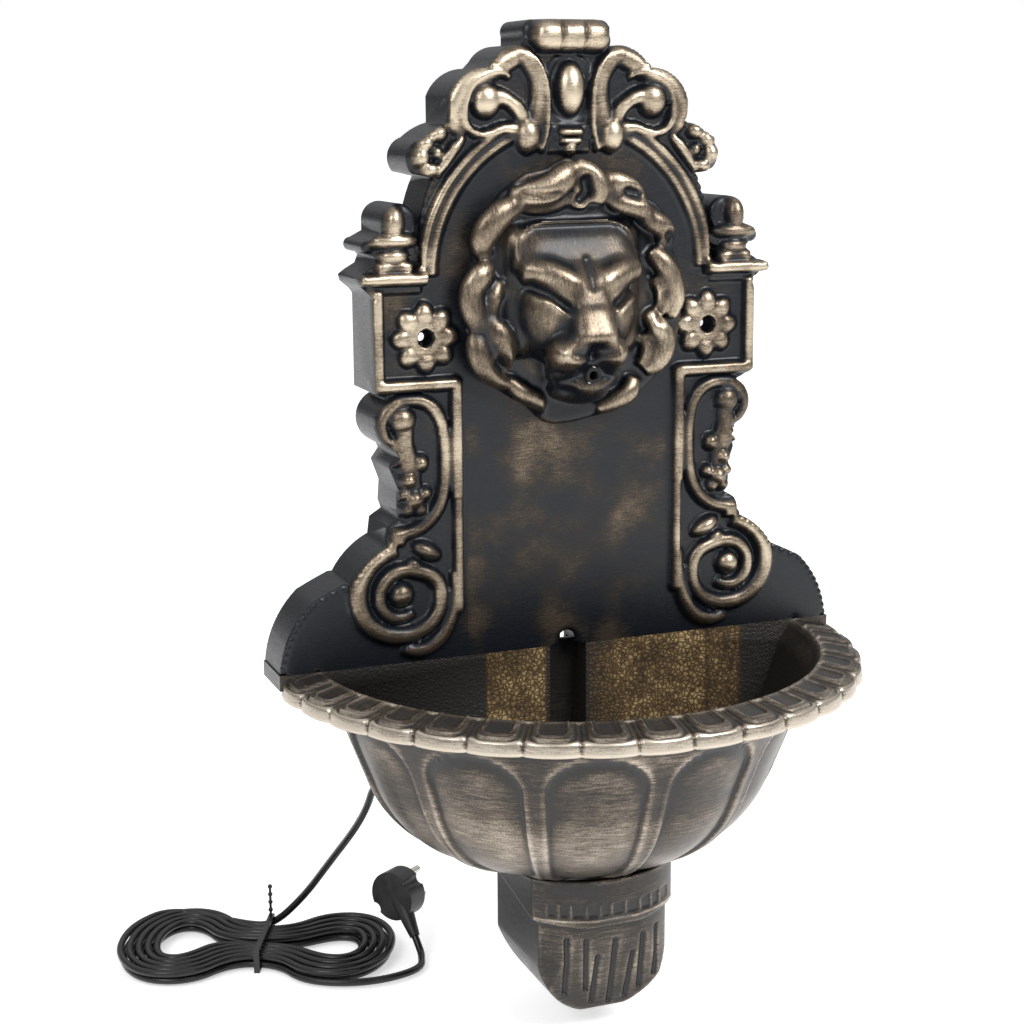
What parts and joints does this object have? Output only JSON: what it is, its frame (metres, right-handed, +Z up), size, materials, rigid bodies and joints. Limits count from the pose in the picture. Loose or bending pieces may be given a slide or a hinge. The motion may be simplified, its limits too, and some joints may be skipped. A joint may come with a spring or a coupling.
{
  "type": "garden wall fountain",
  "caption": "Wall fountain with a scrolled arched back plate, a lion mask spout, a half-round shell basin on a fluted corbel, and a small submersible pump with its mains cord in a hank.",
  "frame": {"origin": "midway between the two wall screw holes, in the middle of their seat wall", "axes": "+X to the viewer's right along the wall, +Y into the wall, +Z up"},
  "size_m": [0.4771, 0.4128, 0.6511],
  "materials": {
    "bronze": "satin bronze paint over dark moulding, brushed gold on the raised places",
    "steel": "plated assembly screws",
    "hose": "black flexible hose",
    "black_plastic": "black moulding",
    "brass": "dull brass",
    "ceramic": "ceramic axle and bushes",
    "magnet": "bonded ferrite",
    "cord": "black rubber cord, satin",
    "rubber": "black rubber",
    "pins": "nickel plated"
  },
  "bodies": {
    "fountain": {"back_plate": "bronze", "lion_mask": "bronze", "lion_mask_screws": "steel", "spout_tube": "brass", "riser_hose": "hose", "hose_clip": "black_plastic", "basin_bowl": "bronze", "seam_screws": "steel", "corbel_foot": "bronze", "corbel_screws": "steel", "pump_body": "black_plastic", "suction_cups": "rubber", "rear_bush": "ceramic", "front_bush": "ceramic", "impeller_axle": "ceramic", "impeller_cover": "black_plastic", "cord_strain_relief": "rubber", "pump_hose": "hose", "riser_elbow": "black_plastic", "bulkhead_seal": "rubber", "bulkhead_nut": "black_plastic", "cord_grommet": "rubber", "cord_hank": "cord", "plug_body": "rubber", "plug_pins": "pins", "hank_tie": "black_plastic", "power_cord": "cord"},
    "rotor": {"magnet_rotor": "magnet", "impeller": "black_plastic"},
    "strainer": {"strainer_cap": "black_plastic"},
    "dial": {"flow_dial": "black_plastic"}
  },
  "joints": [
    {"name": "impeller_spin", "type": "hinge", "parent": "fountain", "child": "rotor", "pos_m": [0, -0.0445, -0.313], "axis": [1, 0, 0], "continuous": true},
    {"name": "strainer_pull", "type": "slide", "parent": "fountain", "child": "strainer", "axis": [1, 0, 0], "range_m": [0, 0.04]},
    {"name": "flow_dial_turn", "type": "hinge", "parent": "strainer", "child": "dial", "pos_m": [0, -0.0445, -0.313], "axis": [1, 0, 0], "range_deg": [0, 45]}
  ]
}
